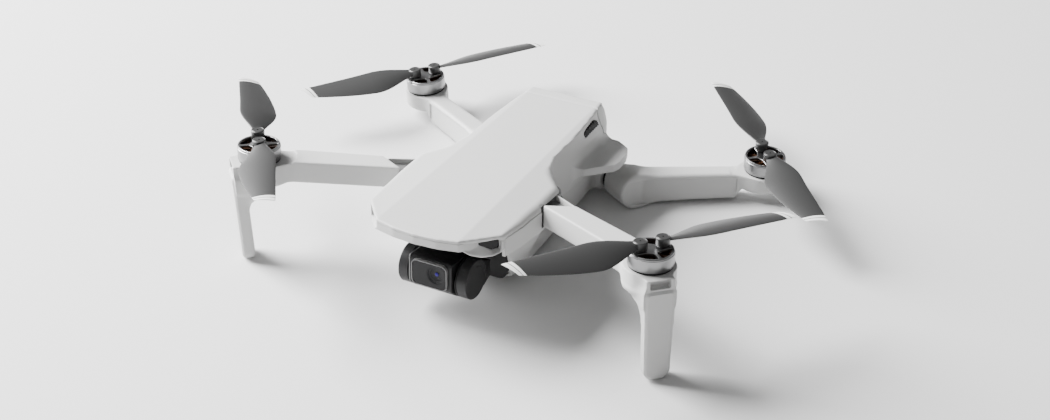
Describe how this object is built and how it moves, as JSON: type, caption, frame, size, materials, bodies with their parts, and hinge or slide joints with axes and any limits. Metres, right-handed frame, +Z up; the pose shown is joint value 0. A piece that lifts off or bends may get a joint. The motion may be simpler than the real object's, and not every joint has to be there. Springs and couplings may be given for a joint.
{
  "type": "mini palm drone",
  "caption": "Small folding camera quadcopter with landing legs on its front arms, hinged rear arms, folding propeller blades and a three-axis nose gimbal.",
  "frame": {"origin": "bottom centre of the bounding box, on the ground under the craft with its arms and blades unfolded", "axes": "+X towards the arms on the right of a viewer who faces the nose, -Y towards the nose, +Z up; the craft stands nose-up on its front legs and rear hinge drums"},
  "size_m": [0.256, 0.2156, 0.0604],
  "materials": {
    "shell_grey": "fine matte texture",
    "dark_plastic": "satin",
    "blade_grey": "satin",
    "gloss_black": "gloss",
    "clear_glass": "polished",
    "brushed_metal": "brushed",
    "steel": "machined",
    "copper": "enamelled wire",
    "board_green": "solder mask",
    "rubber": "matte",
    "cell_wrap": "satin",
    "ceramic": "glazed",
    "light_guide": "frosted"
  },
  "bodies": {
    "airframe": {"top_shell": "shell_grey", "middle_frame": "shell_grey", "nose_fascia": "shell_grey", "corner_windows": "gloss_black", "hull_shell": "shell_grey", "belly_plate": "dark_plastic", "vision_lenses": "clear_glass", "infrared_sensors": "gloss_black", "battery_lights": "light_guide", "side_vents": "dark_plastic", "port_block": "dark_plastic", "door_pin": "steel", "battery": "cell_wrap", "main_board": "board_green", "heat_sink": "brushed_metal", "cooling_fan": "dark_plastic", "satellite_antenna": "ceramic", "shell_screws": "steel", "front_arm_pins": "steel", "rear_arm_pins": "steel", "gimbal_damper_plate": "brushed_metal", "gimbal_dampers": "rubber", "gimbal_ribbon": "brushed_metal", "yaw_motor": "dark_plastic"},
    "battery_door": {"battery_door": "shell_grey"},
    "power_button": {"power_button": "dark_plastic"},
    "front_arm_right": {"front_arm_right": "shell_grey", "front_stator_right": "copper"},
    "rear_arm_right": {"rear_arm_right": "shell_grey", "rear_stator_right": "copper"},
    "front_rotor_right": {"front_bell_right": "brushed_metal", "front_blade_screws_right": "steel"},
    "front_blade_a_right": {"front_blade_a_right": "blade_grey"},
    "front_blade_b_right": {"front_blade_b_right": "blade_grey"},
    "rear_rotor_right": {"rear_bell_right": "brushed_metal", "rear_blade_screws_right": "steel"},
    "rear_blade_a_right": {"rear_blade_a_right": "blade_grey"},
    "rear_blade_b_right": {"rear_blade_b_right": "blade_grey"},
    "front_arm_left": {"front_arm_left": "shell_grey", "front_stator_left": "copper"},
    "rear_arm_left": {"rear_arm_left": "shell_grey", "rear_stator_left": "copper"},
    "front_rotor_left": {"front_bell_left": "brushed_metal", "front_blade_screws_left": "steel"},
    "front_blade_a_left": {"front_blade_a_left": "blade_grey"},
    "front_blade_b_left": {"front_blade_b_left": "blade_grey"},
    "rear_rotor_left": {"rear_bell_left": "brushed_metal", "rear_blade_screws_left": "steel"},
    "rear_blade_a_left": {"rear_blade_a_left": "blade_grey"},
    "rear_blade_b_left": {"rear_blade_b_left": "blade_grey"},
    "gimbal_yaw": {"yaw_bracket": "dark_plastic", "roll_motor": "dark_plastic"},
    "gimbal_roll": {"roll_bracket": "dark_plastic", "pitch_disc_right": "dark_plastic", "pitch_disc_left": "dark_plastic"},
    "camera": {"camera_housing": "gloss_black", "lens_barrel": "dark_plastic", "camera_rim": "brushed_metal", "camera_glass": "clear_glass"}
  },
  "joints": [
    {"name": "battery_door_hinge", "type": "hinge", "parent": "airframe", "child": "battery_door", "pos_m": [0, 0.04347, 0.00576], "axis": [-1, 0, 0], "range_deg": [0, 95]},
    {"name": "power_button_press", "type": "slide", "parent": "airframe", "child": "power_button", "axis": [0, 0.12, 0.9928], "range_m": [0, 0.0007], "stiffness_N_per_m": 300},
    {"name": "front_arm_fold_right", "type": "hinge", "parent": "airframe", "child": "front_arm_right", "pos_m": [0.027, -0.02701, 0.03604], "axis": [0, 0.12, 0.9928], "range_deg": [0, 117]},
    {"name": "rear_arm_fold_right", "type": "hinge", "parent": "airframe", "child": "rear_arm_right", "pos_m": [0.033, 0.03202, 0.00775], "axis": [-0.8572, 0.5113, -0.0618], "range_deg": [0, 180]},
    {"name": "front_spin_right", "type": "hinge", "parent": "front_arm_right", "child": "front_rotor_right", "pos_m": [0.0876, -0.06016, 0.05092], "axis": [0, 0.12, 0.9928], "continuous": true},
    {"name": "front_blade_a_right_fold", "type": "hinge", "parent": "front_rotor_right", "child": "front_blade_a_right", "pos_m": [0.09053, -0.05658, 0.05049], "axis": [0, 0.12, 0.9928], "range_deg": [-60, 86]},
    {"name": "front_blade_b_right_fold", "type": "hinge", "parent": "front_rotor_right", "child": "front_blade_b_right", "pos_m": [0.08467, -0.06375, 0.05136], "axis": [0, -0.12, -0.9928], "range_deg": [-60, 62]},
    {"name": "rear_spin_right", "type": "hinge", "parent": "rear_arm_right", "child": "rear_rotor_right", "pos_m": [0.0845, 0.06225, 0.0187], "axis": [0.0452, 0.033, 0.9984], "continuous": true},
    {"name": "rear_blade_a_right_fold", "type": "hinge", "parent": "rear_rotor_right", "child": "rear_blade_a_right", "pos_m": [0.08134, 0.06566, 0.01873], "axis": [0.0452, 0.033, 0.9984], "range_deg": [-60, 58]},
    {"name": "rear_blade_b_right_fold", "type": "hinge", "parent": "rear_rotor_right", "child": "rear_blade_b_right", "pos_m": [0.08766, 0.05884, 0.01867], "axis": [-0.0452, -0.033, -0.9984], "range_deg": [-60, 88]},
    {"name": "front_arm_fold_left", "type": "hinge", "parent": "airframe", "child": "front_arm_left", "pos_m": [-0.027, -0.02701, 0.03604], "axis": [0, -0.12, -0.9928], "range_deg": [0, 117]},
    {"name": "rear_arm_fold_left", "type": "hinge", "parent": "airframe", "child": "rear_arm_left", "pos_m": [-0.033, 0.03202, 0.00775], "axis": [-0.8572, -0.5113, 0.0618], "range_deg": [0, 180]},
    {"name": "front_spin_left", "type": "hinge", "parent": "front_arm_left", "child": "front_rotor_left", "pos_m": [-0.0876, -0.06016, 0.05092], "axis": [0, -0.12, -0.9928], "continuous": true},
    {"name": "front_blade_a_left_fold", "type": "hinge", "parent": "front_rotor_left", "child": "front_blade_a_left", "pos_m": [-0.09053, -0.05658, 0.05049], "axis": [0, -0.12, -0.9928], "range_deg": [-60, 86]},
    {"name": "front_blade_b_left_fold", "type": "hinge", "parent": "front_rotor_left", "child": "front_blade_b_left", "pos_m": [-0.08467, -0.06375, 0.05136], "axis": [0, 0.12, 0.9928], "range_deg": [-60, 62]},
    {"name": "rear_spin_left", "type": "hinge", "parent": "rear_arm_left", "child": "rear_rotor_left", "pos_m": [-0.0845, 0.06225, 0.0187], "axis": [0.0452, -0.033, -0.9984], "continuous": true},
    {"name": "rear_blade_a_left_fold", "type": "hinge", "parent": "rear_rotor_left", "child": "rear_blade_a_left", "pos_m": [-0.08134, 0.06566, 0.01873], "axis": [0.0452, -0.033, -0.9984], "range_deg": [-60, 58]},
    {"name": "rear_blade_b_left_fold", "type": "hinge", "parent": "rear_rotor_left", "child": "rear_blade_b_left", "pos_m": [-0.08766, 0.05884, 0.01867], "axis": [-0.0452, 0.033, 0.9984], "range_deg": [-60, 88]},
    {"name": "gimbal_pan", "type": "hinge", "parent": "airframe", "child": "gimbal_yaw", "pos_m": [0, -0.05489, 0.03034], "axis": [0, 0.12, 0.9928], "range_deg": [-20, 20]},
    {"name": "gimbal_roll_turn", "type": "hinge", "parent": "gimbal_yaw", "child": "gimbal_roll", "pos_m": [0, -0.06669, 0.01857], "axis": [0, 0.9928, -0.12], "range_deg": [-35, 35]},
    {"name": "camera_tilt", "type": "hinge", "parent": "gimbal_roll", "child": "camera", "pos_m": [0, -0.06669, 0.01857], "axis": [1, 0, 0], "range_deg": [-35, 110]}
  ],
  "couplings": [
    {"joint": "rear_arm_fold_right", "follows": "front_arm_fold_right", "ratio": 1.5384},
    {"joint": "rear_arm_fold_left", "follows": "front_arm_fold_left", "ratio": 1.5384}
  ]
}
